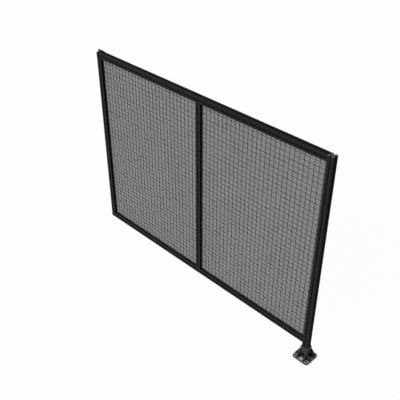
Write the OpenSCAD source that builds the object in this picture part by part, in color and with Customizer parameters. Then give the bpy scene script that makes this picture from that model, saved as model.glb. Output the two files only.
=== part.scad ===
// Machine guard fence panel.
//
// A black T-slot aluminium frame with a centre mullion holds two bays of welded wire
// mesh, each backed by a thin grey infill sheet. The post at the right-hand end runs
// down into a ribbed cast foot that is bolted to the floor; two plates behind the left
// stile join it to the next panel.
//
// Origin at the centre of the foot's underside, on the floor. +X runs along the panel
// towards the foot post, the guarded front faces -Y, and +Z is up. Millimetres.

/* [Panel] */
// Width of the framed panel over its two outer faces
panel_w = 2170; // [1400:10:2600]
// Height of the framed panel, from the underside of its bottom rail to its top
panel_h = 1535; // [1000:5:2000]
// Gap between the top of the foot and the underside of the bottom rail
foot_to_rail = 36; // [20:1:150]

/* [T-slot profile] */
// Side of the square profile
profile_w = 45; // [43:1:50]
// Radius of the profile's outer corners
profile_r = 2; // [1:0.5:3]
// Width of a slot's mouth
slot_mouth = 10; // [9:0.5:12]
// Thickness of the lips beside a slot's mouth
slot_lip = 4.5; // [4:0.5:5.5]
// Width of a slot behind its lips
slot_inner = 20; // [18:1:22]
// Depth of a slot from the profile's face
slot_depth = 14.5; // [13:0.5:15]
// Wall around the hollow in each corner of the profile
corner_wall = 3; // [2:0.5:3.5]
// Bore through the profile's core
core_bore = 10; // [6:0.5:11]

/* [Slot covers] */
// Thickness of a cover strip's face
cover_t = 1.6; // [1:0.2:2.4]
// Depth of the cover strip's face below the profile's face
cover_inset = 0.4; // [0:0.1:1]

/* [Mesh] */
// Spacing of the wires, both ways
mesh_pitch = 37; // [30:1:60]
// Diameter of a wire
wire_d = 3; // [2.5:0.25:3.25]
// Depth to which the wires' crossings are welded into each other
weld_sink = 0.3; // [0.1:0.1:0.6]
// Distance from a bay's left edge to its first upright wire
first_upright = 1; // [0.5:0.5:20]
// Distance from a bay's lower edge to its first level wire
first_level = 7.5; // [4:0.5:25]

/* [Infill] */
// Thickness of the infill sheet
sheet_t = 2; // [1:0.25:2.25]
// Depth to which sheet and wires reach into the profile's slots
edge_grip = 9; // [6:0.5:10]
// Height of the edging strip's lips above the profile's face
edging_proud = 1.5; // [0.5:0.5:4]
// Thickness of the edging strip's base
edging_base = 1.5; // [1:0.25:2.5]

/* [Joining plates] */
// Width of a joining plate, half of which stands out past the left stile
joiner_w = 75; // [66:1:85]
// Thickness of a joining plate
joiner_t = 6; // [4:0.5:8]
// Radius of a joining plate's corners
joiner_r = 4; // [2:0.5:6]
// Diameter of a joining plate's screw holes
joiner_hole_d = 9; // [6.5:0.5:10]

/* [Foot] */
// Side of the square foot plate
foot_w = 135; // [125:1:170]
// Thickness of the foot plate
foot_t = 10; // [8:0.5:15]
// Radius of the foot plate's corners
foot_r = 22; // [10:1:24]
// Rounding of the foot plate's upper edge
foot_edge = 2; // [1:0.5:3]
// Height of the foot, to the top of its socket
foot_h = 105; // [90:1:140]
// Wall of the foot's socket
socket_wall = 6; // [4:0.5:8]
// Clearance between post and socket, on each side
socket_fit = 0.25; // [0.1:0.05:0.5]
// Spacing of the anchor holes
anchor_pitch = 93; // [90:1:100]
// Diameter of an anchor hole
anchor_d = 11; // [8:0.5:14]
// Thickness of a rib
rib_t = 6; // [4:0.5:8]
// Drop from the socket's top to the top of a rib
rib_drop = 22; // [8:1:35]
// Height of a rib where it ends at the plate's edge
rib_toe = 5; // [4:0.5:8]
// Radius of the casting's fillets
fillet_r = 3; // [1:0.5:4]
// Width of the access window in each side of the socket
window_w = 12; // [8:0.5:16]
// Height of the access window in each side of the socket
window_h = 37; // [24:1:45]

/* [Hidden] */

$fn = 48;
eps = 0.01;

half_w = profile_w / 2;
rail_z = foot_h + foot_to_rail;
top_z = rail_z + panel_h;
left_x = half_w - panel_w;
mullion_x = (left_x + half_w) / 2;

// Clear edges of the bays, [left, right], and of both bays in height
left_bay = [left_x + profile_w, mullion_x - half_w];
right_bay = [mullion_x + half_w, -half_w];
bay_z = [rail_z + profile_w, top_z - profile_w];

// Across the slot: the level wires lie in front, the upright ones behind them, and the
// sheet stands against the uprights. The stack is centred on the slot.
stack_t = 2 * wire_d - weld_sink + sheet_t;
level_y = -stack_t / 2 + wire_d / 2;
upright_y = level_y + wire_d - weld_sink;
sheet_y = upright_y + wire_d / 2;

// The mesh is modelled in three tiers of level wires
level_count = floor((bay_z[1] - bay_z[0] - first_level - wire_d / 2) / mesh_pitch) + 1;
tier_rows = ceil(level_count / 3);
wire_sides = 8;

socket_half = half_w + socket_fit + socket_wall;
rib_reach = foot_w / 2 - foot_edge;
window_z = foot_t + 10;

// ---- sections -----------------------------------------------------------------------

// Rectangle with round corners, centred
module round_rectangle(w, h, r) {
    square([w, h - 2 * r], center = true);
    square([w - 2 * r, h], center = true);
    for (sx = [-1, 1], sy = [-1, 1])
        translate([sx * (w / 2 - r), sy * (h / 2 - r)]) circle(r = r);
}

module round_square(side, r) round_rectangle(side, side, r);

// One slot of the profile, cut down from its face at y = half_w
module slot_cut() {
    shoulder = slot_lip + (slot_depth - slot_lip) / 4;
    floor_half = slot_mouth / 2 - 0.5;
    polygon([
        [-slot_mouth / 2, half_w + eps], [-slot_mouth / 2, half_w - slot_lip],
        [-slot_inner / 2, half_w - slot_lip], [-slot_inner / 2, half_w - shoulder],
        [-floor_half, half_w - slot_depth], [floor_half, half_w - slot_depth],
        [slot_inner / 2, half_w - shoulder], [slot_inner / 2, half_w - slot_lip],
        [slot_mouth / 2, half_w - slot_lip], [slot_mouth / 2, half_w + eps]
    ]);
}

// Cross-section of the frame profile: four slots, four corner hollows and a core bore
module profile_section() {
    hollow = half_w - slot_inner / 2 - 2 * corner_wall;
    hollow_c = half_w - corner_wall - hollow / 2;
    difference() {
        round_square(profile_w, profile_r);
        circle(d = core_bore);
        for (a = [0 : 90 : 270])
            rotate(a) {
                slot_cut();
                translate([hollow_c, hollow_c]) square(hollow, center = true);
            }
    }
}

// Cross-section of a slot cover: its face up, just below y = 0, and a barbed leg at each
// side that snaps in behind the slot's lips
module cover_section() {
    face_half = slot_mouth / 2;
    leg_t = 1.2;
    leg_x = face_half - 0.2;
    barb_x = leg_x + 0.8;
    barb_y = -slot_lip - 0.2;
    tip_y = barb_y - 1.6;
    under_y = -cover_inset - cover_t;
    right = [[face_half, -cover_inset], [face_half, under_y], [leg_x, under_y],
             [leg_x, barb_y], [barb_x, barb_y], [leg_x, tip_y],
             [leg_x - leg_t, tip_y], [leg_x - leg_t, under_y]];
    left = [for (i = [len(right) - 1 : -1 : 0]) [-right[i].x, right[i].y]];
    polygon(concat(right, left));
}

// Cross-section of the edging strip: a channel with its mouth up, seated in the slot's
// mouth, its base under the sheet's edge and its lips just above the profile's face
module edging_section() {
    difference() {
        translate([-slot_mouth / 2, -edge_grip - edging_base])
            square([slot_mouth, edge_grip + edging_base + edging_proud]);
        translate([-stack_t / 2, -edge_grip])
            square([stack_t, edge_grip + edging_proud + eps]);
    }
}

// ---- bars ---------------------------------------------------------------------------

// Extrude a section drawn in X and Y along Z
module upright(x, z) {
    translate([x, 0, z[0]]) linear_extrude(height = z[1] - z[0]) children();
}

// Extrude a section drawn in Y and Z along X
module level(x, z) {
    translate([x[0], 0, z]) rotate([90, 0, 90]) linear_extrude(height = x[1] - x[0]) children();
}

module upright_profile(x, z) {
    color("#161616") upright(x, z) profile_section();
}

module level_profile(x, z) {
    color("#161616") level(x, z) profile_section();
}

// Cover strips seated in the front slots
module upright_cover(x, z) {
    color("#6b6a2c") upright(x, z) translate([0, -half_w]) rotate(180) cover_section();
}

module level_cover(x, z) {
    color("#6b6a2c") level(x, z) translate([-half_w, 0]) rotate(90) cover_section();
}

// ---- frame --------------------------------------------------------------------------

module foot_post() upright_profile(0, [foot_t, top_z]);
module left_stile() upright_profile(left_x + half_w, bay_z);
module mullion() upright_profile(mullion_x, bay_z);
module top_rail() level_profile([left_x, -half_w], top_z - half_w);
module bottom_rail() level_profile([left_x, -half_w], rail_z + half_w);

module foot_post_cover() upright_cover(0, [foot_t, top_z]);
module left_stile_cover() upright_cover(left_x + half_w, bay_z);
module mullion_cover() upright_cover(mullion_x, bay_z);
module top_rail_cover() level_cover([left_x, -half_w], top_z - half_w);
module bottom_rail_cover() level_cover([left_x, -half_w], rail_z + half_w);

// Flat plate behind a left-hand corner, two profiles high. Its four holes lie over the
// slots of the rail and the stile, and over those of the next panel beside them.
module joining_plate(z) {
    color("#161616")
        translate([left_x, half_w + joiner_t, z])
            rotate([90, 0, 0])
                linear_extrude(height = joiner_t)
                    difference() {
                        round_rectangle(joiner_w, 2 * profile_w, joiner_r);
                        for (sx = [-1, 1], sz = [-1, 1])
                            translate([sx, sz] * half_w) circle(d = joiner_hole_d);
                    }
}

// ---- bays ---------------------------------------------------------------------------

module sheet(bay) {
    color("#878787")
        translate([bay[0] - edge_grip, sheet_y, bay_z[0] - edge_grip])
            cube([bay[1] - bay[0] + 2 * edge_grip, sheet_t,
                  bay_z[1] - bay_z[0] + 2 * edge_grip]);
}

// One tier of a bay's mesh: its level wires and the stretch of the uprights that they
// cross. The tiers meet midway between two level wires.
module mesh_tier(bay, tier) {
    first = tier * tier_rows;
    last = min(first + tier_rows, level_count) - 1;
    split = bay_z[0] + first_level - mesh_pitch / 2;
    low = tier == 0 ? bay_z[0] - edge_grip : split + first * mesh_pitch;
    high = last == level_count - 1 ? bay_z[1] + edge_grip : split + (last + 1) * mesh_pitch;
    color("#202020") {
        for (x = [bay[0] + first_upright : mesh_pitch : bay[1] - wire_d / 2])
            translate([x, upright_y, low])
                cylinder(d = wire_d, h = high - low, $fn = wire_sides);
        for (row = [first : last])
            translate([bay[0] - edge_grip, level_y, bay_z[0] + first_level + row * mesh_pitch])
                rotate([0, 90, 0])
                    cylinder(d = wire_d, h = bay[1] - bay[0] + 2 * edge_grip, $fn = wire_sides);
    }
}

module edging_upright(x, turn) {
    color("#0c0c0c") upright(x, bay_z) rotate(turn) edging_section();
}

// The level strips stop at the upright strips' lips
module edging_level(bay, z, turn) {
    color("#0c0c0c")
        level([bay[0] + edging_proud, bay[1] - edging_proud], z) rotate(turn) edging_section();
}

// ---- foot ---------------------------------------------------------------------------

// Half-section of the foot plate, out from its middle to the rounded edge
module plate_section(reach) {
    square([reach, foot_t - foot_edge]);
    square([reach - foot_edge, foot_t]);
    translate([reach - foot_edge, foot_t - foot_edge]) circle(r = foot_edge);
}

module foot_plate() {
    corner = foot_w / 2 - foot_r;
    for (a = [0 : 90 : 270])
        rotate([90, 0, a])
            linear_extrude(height = 2 * corner, center = true) plate_section(foot_w / 2);
    for (sx = [-1, 1], sy = [-1, 1])
        translate([sx, sy, 0] * corner) rotate_extrude() plate_section(foot_r);
}

// Concave fillet for the corner between the X and Y axes
module cove() {
    difference() {
        translate([-eps, -eps]) square(fillet_r + eps);
        translate([fillet_r, fillet_r]) circle(r = fillet_r);
    }
}

// Plan of the ribs on the two X sides, in line with the socket's walls, with fillets
// where they meet the socket and the ribs of the next side
module rib_plan() {
    inner = socket_half - rib_t;
    for (mx = [0, 1], my = [0, 1])
        mirror([mx, 0]) mirror([0, my]) {
            translate([inner, inner]) square([rib_reach - inner, rib_t]);
            translate([socket_half, inner]) rotate(-90) cove();
            translate([socket_half, socket_half]) cove();
        }
}

// Side view of the ribs on the two X sides, from toe to toe
module rib_slope() {
    shoulder_z = foot_h - rib_drop;
    toe_z = foot_t + rib_toe;
    polygon([[-rib_reach, 0], [rib_reach, 0], [rib_reach, toe_z], [socket_half, shoulder_z],
             [-socket_half, shoulder_z], [-rib_reach, toe_z]]);
}

module foot_ribs() {
    intersection() {
        linear_extrude(height = foot_h) rib_plan();
        rotate([90, 0, 0]) linear_extrude(height = foot_w, center = true) rib_slope();
    }
}

// Fillets on the plate along both faces of the ribs on the +X side, and between them
// along the socket
module foot_fillets() {
    inner = socket_half - rib_t;
    for (side = [0, 1])
        mirror([0, side, 0]) {
            translate([inner, socket_half, foot_t])
                rotate([90, 0, 90]) linear_extrude(height = rib_reach - inner) cove();
            translate([rib_reach, inner, foot_t])
                rotate([90, 0, -90]) linear_extrude(height = rib_reach - inner) cove();
        }
    translate([socket_half, inner, foot_t])
        rotate([90, 0, 0]) linear_extrude(height = 2 * inner) cove();
}

// Oblong window through two opposite sides of the socket
module socket_windows() {
    end_z = window_h - window_w;
    for (a = [0, 90])
        rotate(a) rotate([90, 0, 0])
            linear_extrude(height = 2 * socket_half + 2, center = true) {
                translate([-window_w / 2, window_z + window_w / 2]) square([window_w, end_z]);
                for (dz = [0, end_z])
                    translate([0, window_z + window_w / 2 + dz]) circle(d = window_w);
            }
}

// Cast foot: plate, square socket, two ribs on each side and four anchor holes
module floor_foot() {
    color("#8c8c8c")
        difference() {
            union() {
                foot_plate();
                linear_extrude(height = foot_h) round_square(2 * socket_half, 3);
                for (a = [0, 90]) rotate(a) foot_ribs();
                for (a = [0 : 90 : 270]) rotate(a) foot_fillets();
            }
            translate([0, 0, foot_t])
                linear_extrude(height = foot_h)
                    round_square(profile_w + 2 * socket_fit, profile_r);
            socket_windows();
            for (sx = [-1, 1], sy = [-1, 1])
                translate([sx, sy, 0] * anchor_pitch / 2 + [0, 0, -1])
                    cylinder(d = anchor_d, h = foot_t + 2);
        }
}

// ---- assembly -----------------------------------------------------------------------

floor_foot();
foot_post();
left_stile();
top_rail();
bottom_rail();
mullion();
foot_post_cover();
left_stile_cover();
top_rail_cover();
bottom_rail_cover();
mullion_cover();
joining_plate(top_z - profile_w);  // upper_joining_plate
joining_plate(rail_z + profile_w);  // lower_joining_plate
sheet(left_bay);  // left_sheet
sheet(right_bay);  // right_sheet
mesh_tier(left_bay, 0);  // left_mesh_lower
mesh_tier(left_bay, 1);  // left_mesh_middle
mesh_tier(left_bay, 2);  // left_mesh_upper
mesh_tier(right_bay, 0);  // right_mesh_lower
mesh_tier(right_bay, 1);  // right_mesh_middle
mesh_tier(right_bay, 2);  // right_mesh_upper
edging_upright(left_bay[0], -90);  // left_bay_edging_left
edging_upright(left_bay[1], 90);  // left_bay_edging_right
edging_level(left_bay, bay_z[0], 0);  // left_bay_edging_bottom
edging_level(left_bay, bay_z[1], 180);  // left_bay_edging_top
edging_upright(right_bay[0], -90);  // right_bay_edging_left
edging_upright(right_bay[1], 90);  // right_bay_edging_right
edging_level(right_bay, bay_z[0], 0);  // right_bay_edging_bottom
edging_level(right_bay, bay_z[1], 180);  // right_bay_edging_top
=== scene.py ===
"""Dresses the machine guard fence panel: black anodised slotted bars, olive cover strips,
two bays of welded wire in front of grey infill, and a ribbed cast floor foot.

Metres, in the part's own frame: origin under the foot, +X along the panel towards the foot
post, the guarded front faces -Y, +Z up.
"""

import math

import bpy
import numpy as np
from bpy.props import FloatProperty, FloatVectorProperty, IntProperty, PointerProperty
from bpy.types import Operator, Panel, PropertyGroup
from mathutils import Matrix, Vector


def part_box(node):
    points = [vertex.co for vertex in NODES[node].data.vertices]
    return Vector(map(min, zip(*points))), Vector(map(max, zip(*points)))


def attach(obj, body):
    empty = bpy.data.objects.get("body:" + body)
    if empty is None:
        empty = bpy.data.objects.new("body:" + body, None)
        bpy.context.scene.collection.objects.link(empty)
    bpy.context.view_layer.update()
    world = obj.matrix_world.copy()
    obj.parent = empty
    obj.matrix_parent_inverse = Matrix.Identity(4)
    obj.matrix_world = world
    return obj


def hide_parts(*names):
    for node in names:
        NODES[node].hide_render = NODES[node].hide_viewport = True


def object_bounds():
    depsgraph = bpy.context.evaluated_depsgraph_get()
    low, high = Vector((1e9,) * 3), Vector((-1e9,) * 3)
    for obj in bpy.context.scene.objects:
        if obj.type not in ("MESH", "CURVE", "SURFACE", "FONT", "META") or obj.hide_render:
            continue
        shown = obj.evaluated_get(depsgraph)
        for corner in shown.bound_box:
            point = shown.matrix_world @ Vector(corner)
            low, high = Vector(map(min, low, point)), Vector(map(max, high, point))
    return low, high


bl_info = {
    "name": "Guard Fence Panel",
    "version": (1, 0, 0),
    "blender": (4, 5, 0),
    "location": "View3D > Sidebar > Guard Fence",
    "description": "Finishes and welded wire mesh for a machine guard fence panel",
    "category": "Object",
}

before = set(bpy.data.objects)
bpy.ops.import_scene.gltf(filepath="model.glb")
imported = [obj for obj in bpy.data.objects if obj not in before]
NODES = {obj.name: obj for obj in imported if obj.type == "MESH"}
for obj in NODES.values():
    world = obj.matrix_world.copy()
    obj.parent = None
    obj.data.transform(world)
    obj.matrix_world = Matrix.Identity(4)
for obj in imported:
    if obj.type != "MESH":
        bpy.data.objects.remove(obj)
CAD_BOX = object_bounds()

# ---- the panel's parts --------------------------------------------------------------

UPRIGHT_BARS = ("foot_post", "left_stile", "mullion")
LEVEL_BARS = ("top_rail", "bottom_rail")
BAYS = {"left": ("left_stile", "mullion"), "right": ("mullion", "foot_post")}
TIERS = ("lower", "middle", "upper")
SIDES = ("left", "right", "bottom", "top")
JOINERS = ("upper_joining_plate", "lower_joining_plate")
# Axes of the part's own frame, by number
LENGTH_AXIS, HEIGHT_AXIS = 0, 2

# ---- colours of wear, dirt, light and painted light ---------------------------------

WHITE = (1.0, 1.0, 1.0)
BAR_EDGE_WEAR_AND_HIGHLIGHT = (0.10, 0.10, 0.10)
BAR_DUST = (0.18, 0.175, 0.165)
SAWN_DARK = (0.17, 0.17, 0.17)
SAWN_BRIGHT = (0.30, 0.30, 0.30)
COVER_DUST = (0.22, 0.21, 0.17)
FOOT_DUST_AND_TOP_LIGHT = (0.3, 0.29, 0.27)
FOOT_TOP_LIGHT = (0.76, 0.76, 0.75)
FOOT_EDGE = (0.55, 0.55, 0.54)
WIRE_DUST_AND_TOP_LIGHT = (0.31, 0.302, 0.288)
PLATE_DUST = (0.17, 0.165, 0.155)
PLATE_EDGE = (0.14, 0.14, 0.14)
ZINC_EDGE = (0.45, 0.45, 0.44)
EDGING_DUST = (0.12, 0.12, 0.115)

# ---- shape of wires, welds and screws -----------------------------------------------

# A wire's rounded end, as shares of its radius: how far back, and how wide there
WIRE_END = ((0.0, 0.55), (0.35, 0.9), (1.0, 1.0))
WELD_FACETS = 8
# Heights of a weld's rings as shares of its half thickness, and that as a share of its radius
WELD_LEVELS = (-0.62, 0.0, 0.62)
WELD_FLATNESS = 0.5
# Rounding allowed where the wires of a bay are counted, in spacings
PITCH_SLACK = 1e-6
SCREW_FACETS = 36
# Share of a button head's height that is crowned, and of its radius that stays flat
HEAD_CROWN = 0.82
HEAD_FLAT = 0.52
CROWN_STEPS = 8
# Share of a washer's thickness that its edge is chamfered by
WASHER_CHAMFER = 0.2
SOCKET_CHAMFER = 0.0001
SHARP_EDGE = math.radians(35.0)

# ---- stage and node layout ----------------------------------------------------------

FLOOR_SIZE = 30.0
FLOOR_CELLS = 4
# Grey of the floor's darkest patches, as a share of its own grey
FLOOR_PATCHES = 0.985
LAMP_DISTANCE = 4.0
SENSOR_MM = 36.0
VIEW_DEPTH = 60.0
COLUMN_STEP = 240
ROW_STEP = 260


# ---- settings -----------------------------------------------------------------------

# The first functions each make a setting of one kind


def colour(name, description, default):
    return FloatVectorProperty(
        name=name, description=description, default=default, size=3, subtype="COLOR",
        min=0.0, max=1.0,
    )


def length(name, description, default):
    return FloatProperty(
        name=name, description=description, default=default, min=0.0, unit="LENGTH",
        precision=4,
    )


def strength(name, description, default):
    return FloatProperty(name=name, description=description, default=default, min=0.0)


def share(name, description, default):
    return FloatProperty(
        name=name, description=description, default=default, min=0.0, max=1.0,
        subtype="FACTOR",
    )


def direction(name, description, default):
    return FloatVectorProperty(
        name=name, description=description, default=default, size=3, subtype="DIRECTION"
    )


def spread(name, description, degrees):
    return FloatProperty(
        name=name, description=description, default=math.radians(degrees), subtype="ANGLE"
    )


class FenceFinishSettings(PropertyGroup):
    """Colours of the panel's finishes."""

    anodised: colour("Anodised bars", "Black of the anodised bars", (0.027, 0.027, 0.0275))
    cover: colour("Slot covers", "Olive of the cover strips", (0.0085, 0.0083, 0.0004))
    casting: colour("Cast foot", "Dark coat of the cast foot", (0.036, 0.036, 0.0355))
    wire: colour("Mesh wire", "Black of the coated wire", (0.012, 0.012, 0.012))
    infill: colour("Infill sheets", "Grey of the infill sheets", (0.29, 0.29, 0.29))
    edging: colour("Edging strips", "Black of the rubber edging", (0.012, 0.012, 0.012))
    plate: colour("Joining plates", "Black of the coated plates", (0.018, 0.018, 0.018))
    screw: colour("Screws", "Dark zinc of the screws and washers", (0.16, 0.16, 0.165))


class FenceMeshSettings(PropertyGroup):
    """Sizes of the welded wire mesh."""

    wire_d: length("Wire diameter", "Diameter of a wire", 0.003)
    pitch: length("Wire spacing", "Spacing of the wires, both ways", 0.037)
    first_upright: length(
        "First upright wire", "From a bay's left edge to its first upright wire", 0.001
    )
    first_level: length(
        "First level wire", "From a bay's lower edge to its first level wire", 0.0075
    )
    grip: length("Grip", "Depth to which the wires reach into the slots", 0.009)
    weld_r: length("Weld radius", "Radius of the weld at a crossing", 0.0018)
    sides: IntProperty(
        name="Wire facets", description="Facets round a wire", default=12, min=6, max=32
    )


class FenceJoinerSettings(PropertyGroup):
    """Sizes of the screws that hold the joining plates."""

    from_rim: length("From the rim", "From a plate's lower or upper rim to a screw", 0.0225)
    head_d: length("Head diameter", "Diameter of a button head", 0.014)
    head_h: length("Head height", "Height of a button head", 0.0044)
    socket_w: length("Socket width", "Width of the hexagon socket over flats", 0.005)
    socket_depth: length("Socket depth", "Depth of the hexagon socket", 0.0026)
    washer_d: length("Washer diameter", "Outer diameter of a washer", 0.016)
    washer_h: length("Washer thickness", "Thickness of a washer", 0.0016)


class FenceStageSettings(PropertyGroup):
    """Camera, lamps and floor."""

    focal: FloatProperty(
        name="Focal length", description="Camera lens", default=57.47, unit="CAMERA"
    )
    camera_at: FloatVectorProperty(
        name="Camera", description="Camera position", default=(1.6542, -2.7151, 3.5500),
        size=3, subtype="TRANSLATION", unit="LENGTH",
    )
    camera_turn: FloatVectorProperty(
        name="Camera turn", description="Camera rotation",
        default=(math.radians(54.736), 0.0, math.radians(45.0)), size=3, subtype="EULER",
    )
    key_strength: strength("Key lamp", "Strength of the main lamp, in front of the panel", 2.33)
    key_from: direction("Key from", "Direction the main lamp shines from", (-0.25, -1.0, 0.5))
    key_spread: spread("Key spread", "Apparent width of the main lamp", 50.0)
    fill_strength: strength("Fill lamp", "Strength of the weak lamp behind", 0.7)
    fill_from: direction("Fill from", "Direction the weak lamp shines from", (0.0, 1.0, 0.25))
    fill_spread: spread("Fill spread", "Apparent width of the weak lamp", 28.0)
    ambient: strength("Ambient", "Level of the light from all round", 0.10)
    floor_grey: share("Floor", "Grey of the seen floor", 0.98)
    floor_bounce: share("Floor bounce", "Reflectance of the floor onto the panel", 0.18)
    floor_lift: share("Floor lift", "Share of plain white in the seen floor", 0.97)


# ---- node helpers -------------------------------------------------------------------


def feed(tree, socket, value):
    """Links a socket from another one, or sets its own value."""
    if isinstance(value, bpy.types.NodeSocket):
        tree.links.new(value, socket)
    else:
        socket.default_value = value


def node(tree, kind, inputs=None, **attributes):
    """A shader node. Its attributes come first, because they can change its sockets."""
    made = tree.nodes.new("ShaderNode" + kind)
    for key, value in attributes.items():
        setattr(made, key, value)
    for key, value in (inputs or {}).items():
        feed(tree, made.inputs[key], value)
    return made


def math_node(tree, operation, *values, clamp=False):
    made = node(tree, "Math", dict(enumerate(values)), operation=operation, use_clamp=clamp)
    return made.outputs[0]


def times(tree, mask, factor, clamp=False):
    return math_node(tree, "MULTIPLY", mask, factor, clamp=clamp)


def remap(tree, value, source, target=(0.0, 1.0)):
    """Maps one range of values onto another one, and holds the result inside it."""
    made = node(
        tree, "MapRange",
        {"Value": value, "From Min": source[0], "From Max": source[1],
         "To Min": target[0], "To Max": target[1]},
    )
    return made.outputs["Result"]


def between(tree, mask, low, high):
    """Goes from low to high as the mask goes from 0 to 1."""
    return remap(tree, mask, (0.0, 1.0), (low, high))


def rgba(tint):
    """Four channels for a colour socket. A socket to link from passes through."""
    if isinstance(tint, bpy.types.NodeSocket):
        return tint
    return (*tint, 1.0)


def scaled(tint, factor):
    return [channel * factor for channel in tint]


def mix_colour(tree, factor, under, over, blend="MIX"):
    """One colour over another. The Mix node's colours are its inputs 6 and 7, output 2."""
    inputs = {0: factor, 6: rgba(under), 7: rgba(over)}
    return node(tree, "Mix", inputs, data_type="RGBA", blend_type=blend).outputs[2]


def mix_number(tree, factor, low, high):
    """One number over another. The Mix node's numbers are its inputs 2 and 3, output 0."""
    return node(tree, "Mix", {0: factor, 2: low, 3: high}, data_type="FLOAT").outputs[0]


def noise(tree, vector, scale, detail=2.0, roughness=0.5):
    made = node(
        tree, "TexNoise",
        {"Vector": vector, "Scale": scale, "Detail": detail, "Roughness": roughness},
    )
    return made.outputs["Fac"]


def facing(tree, axis, normal=None):
    """How far a face looks along an axis, from -1 to 1, by its own or another normal."""
    if normal is None:
        normal = node(tree, "NewGeometry").outputs["Normal"]
    return node(tree, "SeparateXYZ", {"Vector": normal}).outputs[axis]


def stretched(tree, place, axis, factor):
    """The place scaled along one axis. A low factor draws a pattern out along it."""
    scale = [1.0, 1.0, 1.0]
    scale[axis] = factor
    return node(tree, "Mapping", {"Vector": place, "Scale": scale}).outputs["Vector"]


def bumped(tree, height, amount, distance):
    """The normal of a surface that carries this height."""
    inputs = {"Height": height, "Strength": amount, "Distance": distance}
    return node(tree, "Bump", inputs).outputs["Normal"]


def blended(tree, factor, under, over):
    """A shader or light that goes from one to another."""
    return node(tree, "MixShader", {0: factor, 1: under.outputs[0], 2: over.outputs[0]})


def arrange(tree):
    """Sets the nodes out in columns, from the output back to what feeds it."""
    depth = {item: 0 for item in tree.nodes}
    for _ in tree.nodes:
        for link in tree.links:
            depth[link.from_node] = max(depth[link.from_node], depth[link.to_node] + 1)
    rows = {}
    for item in tree.nodes:
        row = rows.get(depth[item], 0)
        item.location = (-COLUMN_STEP * depth[item], -ROW_STEP * row)
        rows[depth[item]] = row + 1


def new_finish(name):
    """An empty material, its node tree, and the place on the piece."""
    material = bpy.data.materials.new(name)
    material.use_nodes = True
    tree = material.node_tree
    tree.nodes.clear()
    return material, tree, node(tree, "TexCoord").outputs["Object"]


def close_finish(material, shader):
    """Joins a shader to its material's output."""
    tree = material.node_tree
    node(tree, "OutputMaterial", {"Surface": shader.outputs[0]})
    arrange(tree)
    return material


# ---- shared effects -----------------------------------------------------------------


def die_lines(tree, given):
    """Fine lines and broad streaks that an extrusion die leaves along a strip or bar."""
    fine = noise(tree, given["Vector"], given["Fine Scale"], detail=4.0, roughness=0.6)
    broad = noise(tree, given["Vector"], given["Broad Scale"])
    return {
        "Lines": remap(tree, fine, (0.3, 0.7)),
        "Streaks": remap(tree, broad, (0.35, 0.65)),
    }


def edge_wear_and_highlight(tree, given):
    """Mask of the outer edges, broken up by noise, for wear and, on the bars, a painted edge
    highlight.
    """
    bevel = node(tree, "Bevel", {"Radius": given["Radius"]}, samples=4)
    flat = node(tree, "NewGeometry")
    normals = {0: bevel.outputs["Normal"], 1: flat.outputs["Normal"]}
    flatness = node(tree, "VectorMath", normals, operation="DOT_PRODUCT").outputs["Value"]
    edge = remap(tree, flatness, (0.995, 0.9))
    breaks = noise(tree, given["Vector"], given["Breakup"], detail=5.0, roughness=0.65)
    mask = times(tree, edge, remap(tree, breaks, (0.42, 0.62)))
    return {"Mask": times(tree, mask, given["Amount"], clamp=True)}


def settled_dust_and_top_light(tree, given):
    """Mask of dust that settles on faces that look up, thinner in patches; on the wires and the
    foot it is also painted light from above.
    """
    facing_up = remap(tree, facing(tree, HEIGHT_AXIS), (0.2, 1.0), (0.15, 1.0))
    patches = noise(tree, given["Vector"], given["Patches"], detail=6.0, roughness=0.62)
    mask = times(tree, facing_up, remap(tree, patches, (0.35, 0.7)))
    return {"Mask": times(tree, mask, given["Amount"], clamp=True)}


def coat_grain(tree, given):
    """Height of a powder coat's fine orange peel, or of a casting's skin, and its mottle."""
    peel = noise(tree, given["Vector"], given["Peel Scale"])
    wave = noise(tree, given["Vector"], given["Wave Scale"], detail=3.0)
    return {
        "Height": mix_number(tree, given["Wave Share"], peel, wave),
        "Mottle": remap(tree, wave, (0.35, 0.65)),
    }


def hollow_shade(tree, given):
    """Painted shade: 1 where a face is open, down to the least value in slots, pockets and
    corners.
    """
    sky = node(tree, "AmbientOcclusion", {"Distance": given["Distance"]}, samples=6)
    source = (given["Shut At"], given["Open At"])
    return {"Shade": remap(tree, sky.outputs["AO"], source, (given["Least"], 1.0))}


# Each effect's nodes, and its inputs' defaults. None marks a vector.
EFFECTS = {
    "Die Lines": (die_lines, {"Vector": None, "Fine Scale": 1400.0, "Broad Scale": 160.0}),
    "Edge Wear And Highlight": (
        edge_wear_and_highlight, {"Vector": None, "Radius": 0.001, "Breakup": 60.0, "Amount": 0.5}
    ),
    "Settled Dust And Top Light": (settled_dust_and_top_light, {"Vector": None, "Patches": 9.0, "Amount": 0.2}),
    "Coat Grain": (
        coat_grain,
        {"Vector": None, "Peel Scale": 900.0, "Wave Scale": 120.0, "Wave Share": 0.35},
    ),
    "Hollow Shade": (
        hollow_shade, {"Distance": 0.02, "Shut At": 0.5, "Open At": 0.95, "Least": 0.0}
    ),
}


def effect_group(name):
    """The shader group of a shared effect, built on its first use."""
    if name in bpy.data.node_groups:
        return bpy.data.node_groups[name]
    build, defaults = EFFECTS[name]
    tree = bpy.data.node_groups.new(name, "ShaderNodeTree")
    for key, default in defaults.items():
        kind = "NodeSocketVector" if default is None else "NodeSocketFloat"
        made = tree.interface.new_socket(key, in_out="INPUT", socket_type=kind)
        if default is not None:
            made.default_value = default
    results = build(tree, tree.nodes.new("NodeGroupInput").outputs)
    for key in results:
        tree.interface.new_socket(key, in_out="OUTPUT", socket_type="NodeSocketFloat")
    end = tree.nodes.new("NodeGroupOutput")
    for key, socket in results.items():
        tree.links.new(socket, end.inputs[key])
    arrange(tree)
    return tree


def effect(tree, name, inputs):
    """A shared effect placed in a material with its own values."""
    return node(tree, "Group", inputs, node_tree=effect_group(name)).outputs


# ---- finishes -----------------------------------------------------------------------


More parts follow.
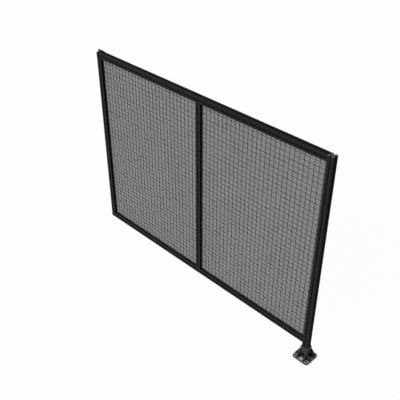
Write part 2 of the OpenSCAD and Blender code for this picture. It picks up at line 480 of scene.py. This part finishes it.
def anodised_bar(name, axis, base):
    """Satin black anodised bar: die lines, worn edges with painted highlight, painted shade in
    slots, brighter sawn end.
    """
    material, tree, place = new_finish(name)
    drawn = stretched(tree, place, axis, 0.004)
    lines = effect(
        tree, "Die Lines", {"Vector": drawn, "Fine Scale": 1400.0, "Broad Scale": 160.0}
    )
    wear_and_highlight = effect(
        tree, "Edge Wear And Highlight",
        {"Vector": place, "Radius": 0.0008, "Breakup": 45.0, "Amount": 0.2},
    )["Mask"]
    dust_and_top_light = effect(
        tree, "Settled Dust And Top Light", {"Vector": place, "Patches": 7.0, "Amount": 0.012}
    )["Mask"]
    # A face that looks along the bar is its sawn end
    sawn = remap(tree, math_node(tree, "ABSOLUTE", facing(tree, axis)), (0.9, 0.95))
    grooves = node(
        tree, "TexWave",
        {"Vector": place, "Scale": 420.0, "Distortion": 1.5, "Detail": 2.0},
        bands_direction="DIAGONAL",
    ).outputs["Fac"]
    sawn_tone = mix_colour(tree, grooves, SAWN_DARK, SAWN_BRIGHT)
    # Painted shade: the colour is darkened by ambient occlusion in the slots, where little
    # light comes back out
    shade = effect(
        tree, "Hollow Shade",
        {"Distance": 0.02, "Shut At": 0.6, "Open At": 0.95, "Least": 0.05},
    )["Shade"]
    tone = mix_colour(tree, lines["Streaks"], base, scaled(base, 1.3))
    # Painted highlight: the worn edge colour also stands in for the light that the bar's
    # rounded corners catch
    tone = mix_colour(tree, wear_and_highlight, tone, BAR_EDGE_WEAR_AND_HIGHLIGHT)
    tone = mix_colour(tree, dust_and_top_light, tone, BAR_DUST)
    tone = mix_colour(tree, times(tree, sawn, 0.7), tone, sawn_tone)
    tone = mix_colour(tree, 1.0, tone, shade, "MULTIPLY")
    rough = between(tree, lines["Lines"], 0.3, 0.42)
    shader = node(
        tree, "BsdfPrincipled",
        {"Base Color": tone,
         "Roughness": math_node(tree, "ADD", rough, times(tree, dust_and_top_light, 0.6)),
         "Metallic": times(tree, sawn, 0.6),
         "Normal": bumped(tree, lines["Lines"], amount=0.3, distance=0.00008),
         "Specular IOR Level": 0.007},
    )
    return close_finish(material, shader)


def cover_strip(name, axis, base):
    """Matt olive plastic strip with faint draw lines, mottle and dust."""
    material, tree, place = new_finish(name)
    drawn = stretched(tree, place, axis, 0.006)
    lines = effect(
        tree, "Die Lines", {"Vector": drawn, "Fine Scale": 1900.0, "Broad Scale": 300.0}
    )
    grain = effect(
        tree, "Coat Grain",
        {"Vector": place, "Peel Scale": 1600.0, "Wave Scale": 14.0, "Wave Share": 0.2},
    )
    dust_and_top_light = effect(
        tree, "Settled Dust And Top Light", {"Vector": place, "Patches": 12.0, "Amount": 0.03}
    )["Mask"]
    tone = mix_colour(tree, grain["Mottle"], scaled(base, 0.86), base)
    tone = mix_colour(tree, times(tree, lines["Streaks"], 0.25), tone, scaled(base, 1.25))
    tone = mix_colour(tree, dust_and_top_light, tone, COVER_DUST)
    shader = node(
        tree, "BsdfPrincipled",
        {"Base Color": tone,
         "Roughness": between(tree, lines["Lines"], 0.5, 0.62),
         "Normal": bumped(tree, lines["Lines"], amount=0.15, distance=0.00005),
         "Specular IOR Level": 0.01},
    )
    return close_finish(material, shader)


def cast_foot(name, base):
    """Dark coated casting: pebbled skin, painted shade in hollows, painted top light on lands,
    bare metal on edges.
    """
    material, tree, place = new_finish(name)
    grain = effect(
        tree, "Coat Grain",
        {"Vector": place, "Peel Scale": 850.0, "Wave Scale": 130.0, "Wave Share": 0.45},
    )
    wear_and_highlight = effect(
        tree, "Edge Wear And Highlight",
        {"Vector": place, "Radius": 0.0014, "Breakup": 110.0, "Amount": 0.7},
    )["Mask"]
    dust_and_top_light = effect(
        tree, "Settled Dust And Top Light", {"Vector": place, "Patches": 22.0, "Amount": 0.25}
    )["Mask"]
    # Painted light: the level lands are painted near white as if lit from above, in patches,
    # but not along rims and ribs
    inside = node(tree, "Bevel", {"Radius": 0.010}, samples=8).outputs["Normal"]
    level = remap(tree, facing(tree, HEIGHT_AXIS, inside), (0.975, 0.999))
    patches = noise(tree, place, 35.0, detail=5.0, roughness=0.6)
    top_light_lands = times(tree, level, remap(tree, patches, (0.3, 0.6), (0.65, 1.0)))
    # Painted shade: ambient occlusion darkens the colour in the hollows and corners
    shade = effect(
        tree, "Hollow Shade",
        {"Distance": 0.03, "Shut At": 0.45, "Open At": 0.95, "Least": 0.1},
    )["Shade"]
    tone = mix_colour(tree, grain["Mottle"], scaled(base, 0.88), base)
    # Dust, and painted light on the faces that look up
    tone = mix_colour(tree, dust_and_top_light, tone, FOOT_DUST_AND_TOP_LIGHT)
    tone = mix_colour(tree, 1.0, tone, shade, "MULTIPLY")
    tone = mix_colour(tree, top_light_lands, tone, FOOT_TOP_LIGHT)
    tone = mix_colour(tree, wear_and_highlight, tone, FOOT_EDGE)
    shader = node(
        tree, "BsdfPrincipled",
        {"Base Color": tone,
         "Roughness": between(tree, grain["Mottle"], 0.5, 0.62),
         "Metallic": times(tree, wear_and_highlight, 0.7),
         "Normal": bumped(tree, grain["Height"], amount=0.35, distance=0.0003),
         "Specular IOR Level": 0.15},
    )
    return close_finish(material, shader)


def coated_wire(name, base):
    """Black powder coat over welded wire, with dust and painted top light along the tops of the
    level wires.
    """
    material, tree, place = new_finish(name)
    grain = effect(
        tree, "Coat Grain",
        {"Vector": place, "Peel Scale": 1500.0, "Wave Scale": 260.0, "Wave Share": 0.4},
    )
    dust_and_top_light = effect(
        tree, "Settled Dust And Top Light", {"Vector": place, "Patches": 18.0, "Amount": 1.0}
    )["Mask"]
    # The mask's thin share on upright faces is cut back, so the dust and painted top light stay
    # on faces that look up
    dust_and_top_light = remap(tree, dust_and_top_light, (0.1, 0.5))
    tone = mix_colour(tree, grain["Mottle"], base, scaled(base, 1.6))
    tone = mix_colour(tree, dust_and_top_light, tone, WIRE_DUST_AND_TOP_LIGHT)
    shader = node(
        tree, "BsdfPrincipled",
        {"Base Color": tone,
         "Roughness": between(tree, grain["Mottle"], 0.38, 0.5),
         "Normal": bumped(tree, grain["Height"], amount=0.3, distance=0.0001),
         "Specular IOR Level": 0.45},
    )
    return close_finish(material, shader)


def coated_plate(name, base):
    """Black powder coat over cut steel plate, rubbed thin along its edges."""
    material, tree, place = new_finish(name)
    grain = effect(
        tree, "Coat Grain",
        {"Vector": place, "Peel Scale": 1100.0, "Wave Scale": 180.0, "Wave Share": 0.4},
    )
    wear_and_highlight = effect(
        tree, "Edge Wear And Highlight",
        {"Vector": place, "Radius": 0.0008, "Breakup": 90.0, "Amount": 0.4},
    )["Mask"]
    dust_and_top_light = effect(
        tree, "Settled Dust And Top Light", {"Vector": place, "Patches": 20.0, "Amount": 0.12}
    )["Mask"]
    tone = mix_colour(tree, grain["Mottle"], base, scaled(base, 1.5))
    tone = mix_colour(tree, dust_and_top_light, tone, PLATE_DUST)
    tone = mix_colour(tree, wear_and_highlight, tone, PLATE_EDGE)
    shader = node(
        tree, "BsdfPrincipled",
        {"Base Color": tone,
         "Roughness": between(tree, grain["Mottle"], 0.42, 0.55),
         "Normal": bumped(tree, grain["Height"], amount=0.35, distance=0.00015),
         "Specular IOR Level": 0.3},
    )
    return close_finish(material, shader)


def dark_zinc(name, base):
    """Dark zinc on screws and washers, brushed by the driver along its edges."""
    material, tree, place = new_finish(name)
    grain = effect(
        tree, "Coat Grain",
        {"Vector": place, "Peel Scale": 2400.0, "Wave Scale": 400.0, "Wave Share": 0.5},
    )
    wear_and_highlight = effect(
        tree, "Edge Wear And Highlight",
        {"Vector": place, "Radius": 0.0004, "Breakup": 500.0, "Amount": 0.6},
    )["Mask"]
    tone = mix_colour(tree, grain["Mottle"], scaled(base, 0.8), base)
    tone = mix_colour(tree, wear_and_highlight, tone, ZINC_EDGE)
    shader = node(
        tree, "BsdfPrincipled",
        {"Base Color": tone,
         "Roughness": between(tree, grain["Mottle"], 0.3, 0.42),
         "Metallic": 0.85,
         "Normal": bumped(tree, grain["Height"], amount=0.2, distance=0.00004)},
    )
    return close_finish(material, shader)


def infill_sheet(name, base):
    """Matt grey sheet with a fine texture and faint smears."""
    material, tree, place = new_finish(name)
    grain = effect(
        tree, "Coat Grain",
        {"Vector": place, "Peel Scale": 700.0, "Wave Scale": 3.5, "Wave Share": 0.1},
    )
    wiped = stretched(tree, place, HEIGHT_AXIS, 0.22)
    smear = remap(tree, noise(tree, wiped, 5.0, detail=5.0, roughness=0.6), (0.4, 0.72))
    tone = mix_colour(tree, grain["Mottle"], scaled(base, 0.97), base)
    tone = mix_colour(tree, times(tree, smear, 0.12), tone, scaled(base, 1.25))
    shader = node(
        tree, "BsdfPrincipled",
        {"Base Color": tone,
         "Roughness": between(tree, smear, 0.62, 0.52),
         "Normal": bumped(tree, grain["Height"], amount=0.18, distance=0.0002),
         "Specular IOR Level": 0.3},
    )
    return close_finish(material, shader)


def rubber_edging(name, base):
    """Dull black rubber with a bloom of grey dust."""
    material, tree, place = new_finish(name)
    grain = effect(
        tree, "Coat Grain",
        {"Vector": place, "Peel Scale": 1200.0, "Wave Scale": 40.0, "Wave Share": 0.3},
    )
    dust_and_top_light = effect(
        tree, "Settled Dust And Top Light", {"Vector": place, "Patches": 20.0, "Amount": 0.25}
    )["Mask"]
    tone = mix_colour(tree, grain["Mottle"], base, scaled(base, 1.5))
    tone = mix_colour(tree, dust_and_top_light, tone, EDGING_DUST)
    shader = node(
        tree, "BsdfPrincipled",
        {"Base Color": tone,
         "Roughness": between(tree, grain["Mottle"], 0.68, 0.8),
         "Normal": bumped(tree, grain["Height"], amount=0.25, distance=0.0001),
         "Specular IOR Level": 0.3},
    )
    return close_finish(material, shader)


def dress(names, material):
    """Gives CAD nodes one finish."""
    for name in names:
        NODES[name].material_slots[0].material = material


# ---- rings and meshes ---------------------------------------------------------------


def turns(count, offset=0.0):
    """Angles of evenly spaced points round a circle, the first moved on by the offset."""
    return (np.arange(count) + offset) * 2 * math.pi / count


def ring(turn, reach, z):
    """Points about Z at these angles. The reach is one radius, or one for each point."""
    return np.column_stack((np.cos(turn) * reach, np.sin(turn) * reach, np.full(len(turn), z)))


def wall(levels, count, first=0):
    """Faces between rings of equal count that follow each other, from a first point on."""
    faces = []
    for low in range(first, first + (levels - 1) * count, count):
        high = low + count
        for here in range(count):
            after = (here + 1) % count
            faces.append((low + here, low + after, high + after, high + here))
    return faces


def along_x(points):
    """Points made along Z, laid along X."""
    return points[:, (2, 0, 1)]


def along_y(points):
    """Points made along Z, laid along Y."""
    return points[:, (0, 2, 1)] * (1.0, 1.0, -1.0)


class MeshParts:
    """Points and faces of like shapes, gathered into one mesh."""

    def __init__(self):
        self.points = []
        self.faces = []
        self.count = 0

    def add(self, points, faces, place):
        """Adds one shape, moved to its place."""
        self.points.append(points + place)
        self.faces.extend(tuple(self.count + index for index in face) for face in faces)
        self.count += len(points)

    def build(self, name):
        """Makes the piece, smooth all over."""
        mesh = bpy.data.meshes.new(name)
        mesh.from_pydata(np.concatenate(self.points).tolist(), [], self.faces)
        mesh.shade_smooth()
        piece = bpy.data.objects.new(name, mesh)
        bpy.context.scene.collection.objects.link(piece)
        return piece


# ---- welded mesh --------------------------------------------------------------------


def wire_shape(radius, half, sides):
    """A wire along Z, centred, with its ends rounded over."""
    profile = [(width * radius, back * radius - half) for back, width in WIRE_END]
    profile += [(reach, -z) for reach, z in reversed(profile)]
    rings = [ring(turns(sides), reach, z) for reach, z in profile]
    last = (len(rings) - 1) * sides
    faces = [tuple(reversed(range(sides)))]
    faces += wall(len(rings), sides)
    faces.append(tuple(range(last, last + sides)))
    return np.concatenate(rings), faces


def weld_shape(radius, thick):
    """A flattened bead that fills the corners where two wires cross."""
    turn = turns(WELD_FACETS, offset=0.5)
    rings = [
        ring(turn, math.sqrt(1.0 - level * level) * radius, level * thick)
        for level in WELD_LEVELS
    ]
    points = np.concatenate([[(0.0, 0.0, -thick)], *rings, [(0.0, 0.0, thick)]])
    tip = len(points) - 1
    last = tip - WELD_FACETS
    faces = wall(len(rings), WELD_FACETS, first=1)
    for here in range(WELD_FACETS):
        after = (here + 1) % WELD_FACETS
        faces.append((0, 1 + after, 1 + here))
        faces.append((last + here, last + after, tip))
    return along_y(points), faces


def wire_places(first, pitch, limit):
    """Places a pitch apart, from the first one up to the limit."""
    spaces = int((limit - first) / pitch + PITCH_SLACK)
    return [first + pitch * number for number in range(spaces + 1)]


def welded_bay(side, sizes):
    """Round wires with a weld at each crossing, for one bay of the frame."""
    bar_left, bar_right = BAYS[side]
    radius = sizes.wire_d / 2
    x0, x1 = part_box(bar_left)[1].x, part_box(bar_right)[0].x
    z0, z1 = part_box("bottom_rail")[1].z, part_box("top_rail")[0].z
    low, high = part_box(f"{side}_mesh_lower")
    level_y, upright_y = low.y + radius, high.y - radius
    xs = wire_places(x0 + sizes.first_upright, sizes.pitch, x1 - radius)
    zs = wire_places(z0 + sizes.first_level, sizes.pitch, z1 - radius)

    parts = MeshParts()
    points, faces = wire_shape(radius, (z1 - z0) / 2 + sizes.grip, sizes.sides)
    for x in xs:
        parts.add(points, faces, (x, upright_y, (z0 + z1) / 2))
    points, faces = wire_shape(radius, (x1 - x0) / 2 + sizes.grip, sizes.sides)
    points = along_x(points)
    for z in zs:
        parts.add(points, faces, ((x0 + x1) / 2, level_y, z))
    points, faces = weld_shape(sizes.weld_r, sizes.weld_r * WELD_FLATNESS)
    for x in xs:
        for z in zs:
            parts.add(points, faces, (x, (level_y + upright_y) / 2, z))
    return parts.build(f"{side}_welded_mesh")


# ---- screws -------------------------------------------------------------------------


def washer_and_head(sizes):
    """A washer and a button head with a hexagon socket, seated on Z = 0, open below."""
    turn = turns(SCREW_FACETS)
    washer, head = sizes.washer_d / 2, sizes.head_d / 2
    seat, rim = sizes.washer_h, sizes.washer_h + sizes.head_h
    crown, flat = sizes.head_h * HEAD_CROWN, head * HEAD_FLAT
    chamfer = seat * WASHER_CHAMFER
    profile = [
        (washer, 0.0), (washer, seat - chamfer), (washer - chamfer, seat),
        (head, seat), (head, rim - crown),
    ]
    for angle in np.linspace(0.0, math.pi / 2, CROWN_STEPS + 1)[1:]:
        reach = flat + (head - flat) * math.cos(angle)
        profile.append((reach, rim - crown + crown * math.sin(angle)))
    # The socket is a hexagon, so its reach depends on the angle from a flat's middle
    from_flat = np.mod(turn, math.pi / 3) - math.pi / 6
    socket = sizes.socket_w / 2 / np.cos(from_flat)
    profile += [(socket, rim - SOCKET_CHAMFER), (socket, rim - sizes.socket_depth)]

    rings = [ring(turn, reach, z) for reach, z in profile]
    points = np.concatenate([*rings, [(0.0, 0.0, rim - sizes.socket_depth)]])
    tip = len(points) - 1
    last = tip - SCREW_FACETS
    faces = wall(len(rings), SCREW_FACETS)
    for here in range(SCREW_FACETS):
        faces.append((last + here, last + (here + 1) % SCREW_FACETS, tip))
    return points, faces


def plate_screws(plate, sizes):
    """The two screws that hold a joining plate to the left stile."""
    low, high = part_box(plate)
    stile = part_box("left_stile")
    x = (stile[0].x + stile[1].x) / 2
    points, faces = washer_and_head(sizes)
    points = along_y(points)
    parts = MeshParts()
    for z in (low.z + sizes.from_rim, high.z - sizes.from_rim):
        parts.add(points, faces, (x, high.y, z))
    return parts.build(plate.replace("joining_plate", "plate_screws"))


# ---- studio -------------------------------------------------------------------------


def seen_rays(tree):
    """1 for rays from the camera, or mirrored or passed on to it, otherwise 0."""
    path = node(tree, "LightPath").outputs
    seen = math_node(tree, "MAXIMUM", path["Is Camera Ray"], path["Is Glossy Ray"])
    return math_node(tree, "MAXIMUM", seen, path["Is Transmission Ray"])


def pale_floor(grey, bounce, lift):
    """Floor that looks near white, but keeps the panel's shadow."""
    material, tree, place = new_finish("pale_floor")
    seen = seen_rays(tree)
    patches = noise(tree, place, 3.0, detail=3.0)
    tone = remap(tree, patches, (0.3, 0.7), (grey * FLOOR_PATCHES, grey))
    ground = node(
        tree, "BsdfPrincipled",
        {"Base Color": between(tree, seen, bounce, tone), "Roughness": 0.9,
         "Specular IOR Level": 0.1},
    )
    white = node(tree, "Emission", {"Color": rgba(WHITE), "Strength": 1.0})
    # Painted shade: close under the foot and in its holes, by ambient occlusion, the floor's
    # white lift is taken away, so it shows darker there
    sky = node(tree, "AmbientOcclusion", {"Distance": 0.05}, samples=6).outputs["AO"]
    lifted = times(tree, times(tree, seen, remap(tree, sky, (0.2, 0.75))), lift)
    return close_finish(material, blended(tree, lifted, ground, white))


def light_world(ambient):
    """Lights softly from all round, and is plain white where the world itself is seen."""
    world = bpy.data.worlds.new("studio")
    world.use_nodes = True
    tree = world.node_tree
    tree.nodes.clear()
    soft = node(tree, "Background", {"Color": rgba(WHITE), "Strength": ambient})
    plain = node(tree, "Background", {"Color": rgba(WHITE), "Strength": 1.0})
    mixed = blended(tree, seen_rays(tree), soft, plain)
    node(tree, "OutputWorld", {"Surface": mixed.outputs[0]})
    arrange(tree)
    bpy.context.scene.world = world


def sun_lamp(name, shines_from, energy, width):
    """Adds a sun that shines from a direction, with an apparent width."""
    data = bpy.data.lights.new(name, "SUN")
    data.energy = energy
    data.angle = width
    lamp = bpy.data.objects.new(name, data)
    lamp.rotation_euler = Vector(shines_from).to_track_quat("Z", "Y").to_euler()
    lamp.location = Vector(shines_from) * LAMP_DISTANCE
    bpy.context.scene.collection.objects.link(lamp)


def view_camera(stage):
    """Sets up the camera at the panel's main view."""
    data = bpy.data.cameras.new("view")
    data.sensor_width = SENSOR_MM
    data.lens = stage.focal
    data.clip_end = VIEW_DEPTH
    camera = bpy.data.objects.new("view", data)
    camera.location = stage.camera_at
    camera.rotation_euler = stage.camera_turn
    bpy.context.scene.collection.objects.link(camera)
    bpy.context.scene.camera = camera


# ---- operators ----------------------------------------------------------------------


class FENCE_OT_frame_bars(Operator):
    """Give the frame's bars their black anodised finish"""

    bl_idname = "fence.frame_bars"
    bl_label = "Frame Bars"

    def execute(self, context):
        base = context.scene.fence_finish.anodised
        dress(UPRIGHT_BARS, anodised_bar("anodised_upright", HEIGHT_AXIS, base))
        dress(LEVEL_BARS, anodised_bar("anodised_level", LENGTH_AXIS, base))
        return {"FINISHED"}


class FENCE_OT_slot_covers(Operator):
    """Give the cover strips their olive plastic finish"""

    bl_idname = "fence.slot_covers"
    bl_label = "Slot Covers"

    def execute(self, context):
        base = context.scene.fence_finish.cover
        upright = cover_strip("cover_upright", HEIGHT_AXIS, base)
        level = cover_strip("cover_level", LENGTH_AXIS, base)
        dress([f"{bar}_cover" for bar in UPRIGHT_BARS], upright)
        dress([f"{bar}_cover" for bar in LEVEL_BARS], level)
        return {"FINISHED"}


class FENCE_OT_floor_foot(Operator):
    """Give the cast foot its finish"""

    bl_idname = "fence.floor_foot"
    bl_label = "Floor Foot"

    def execute(self, context):
        base = context.scene.fence_finish.casting
        dress(["floor_foot"], cast_foot("cast_foot_finish", base))
        return {"FINISHED"}


class FENCE_OT_infill(Operator):
    """Give the infill sheets and their rubber edging their finishes"""

    bl_idname = "fence.infill"
    bl_label = "Infill and Edging"

    def execute(self, context):
        finish = context.scene.fence_finish
        sheet = infill_sheet("infill_finish", finish.infill)
        edging = rubber_edging("edging_finish", finish.edging)
        dress([f"{bay}_sheet" for bay in BAYS], sheet)
        dress([f"{bay}_bay_edging_{side}" for bay in BAYS for side in SIDES], edging)
        return {"FINISHED"}


class FENCE_OT_welded_mesh(Operator):
    """Build each bay's welded mesh of round wire"""

    bl_idname = "fence.welded_mesh"
    bl_label = "Welded Mesh"

    def execute(self, context):
        material = coated_wire("coated_wire_finish", context.scene.fence_finish.wire)
        for side in BAYS:
            tiers = [f"{side}_mesh_{tier}" for tier in TIERS]
            dress(tiers, material)
            piece = welded_bay(side, context.scene.fence_mesh)
            piece.data.materials.append(material)
            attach(piece, "root")
            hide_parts(*tiers)
        return {"FINISHED"}


class FENCE_OT_joining_plates(Operator):
    """Give the joining plates their finish and fit their screws"""

    bl_idname = "fence.joining_plates"
    bl_label = "Joining Plates"

    def execute(self, context):
        finish = context.scene.fence_finish
        dress(JOINERS, coated_plate("coated_plate_finish", finish.plate))
        zinc = dark_zinc("dark_zinc_finish", finish.screw)
        for plate in JOINERS:
            piece = plate_screws(plate, context.scene.fence_joiner)
            piece.data.set_sharp_from_angle(angle=SHARP_EDGE)
            piece.data.materials.append(zinc)
            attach(piece, "root")
        return {"FINISHED"}


class FENCE_OT_stage(Operator):
    """Set up the floor, the lamps, the camera and the plain view"""

    bl_idname = "fence.stage"
    bl_label = "Stage"

    def execute(self, context):
        stage = context.scene.fence_stage
        light_world(stage.ambient)

        low, high = CAD_BOX
        middle = (Vector(low) + Vector(high)) / 2
        bpy.ops.mesh.primitive_grid_add(
            x_subdivisions=FLOOR_CELLS, y_subdivisions=FLOOR_CELLS, size=FLOOR_SIZE,
            location=(middle.x, middle.y, low[2]),
        )
        floor = context.object
        floor.name = "studio_floor"
        floor.data.materials.append(
            pale_floor(stage.floor_grey, stage.floor_bounce, stage.floor_lift)
        )

        sun_lamp("key", stage.key_from, stage.key_strength, stage.key_spread)
        sun_lamp("fill", stage.fill_from, stage.fill_strength, stage.fill_spread)
        view_camera(stage)
        context.scene.view_settings.view_transform = "Standard"
        return {"FINISHED"}


STEPS = (
    FENCE_OT_frame_bars, FENCE_OT_slot_covers, FENCE_OT_floor_foot, FENCE_OT_infill,
    FENCE_OT_welded_mesh, FENCE_OT_joining_plates, FENCE_OT_stage,
)
SETTINGS = {
    "fence_finish": FenceFinishSettings,
    "fence_mesh": FenceMeshSettings,
    "fence_joiner": FenceJoinerSettings,
    "fence_stage": FenceStageSettings,
}


class FENCE_PT_panel(Panel):
    """Settings and steps of the guard fence panel"""

    bl_idname = "FENCE_PT_panel"
    bl_label = "Guard Fence Panel"
    bl_space_type = "VIEW_3D"
    bl_region_type = "UI"
    bl_category = "Guard Fence"

    def draw(self, context):
        for name, group in SETTINGS.items():
            box = self.layout.box()
            for key in group.__annotations__:
                box.prop(getattr(context.scene, name), key)
        for step in STEPS:
            self.layout.operator(step.bl_idname)


CLASSES = (*SETTINGS.values(), *STEPS, FENCE_PT_panel)


def register():
    for item in CLASSES:
        bpy.utils.register_class(item)
    for name, group in SETTINGS.items():
        setattr(bpy.types.Scene, name, PointerProperty(type=group))


def unregister():
    for name in SETTINGS:
        delattr(bpy.types.Scene, name)
    for item in reversed(CLASSES):
        bpy.utils.unregister_class(item)


def main():
    """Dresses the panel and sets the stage."""
    register()
    bpy.ops.fence.frame_bars()
    bpy.ops.fence.slot_covers()
    bpy.ops.fence.floor_foot()
    bpy.ops.fence.infill()
    bpy.ops.fence.welded_mesh()
    bpy.ops.fence.joining_plates()
    bpy.ops.fence.stage()


if __name__ == "__main__":
    main()
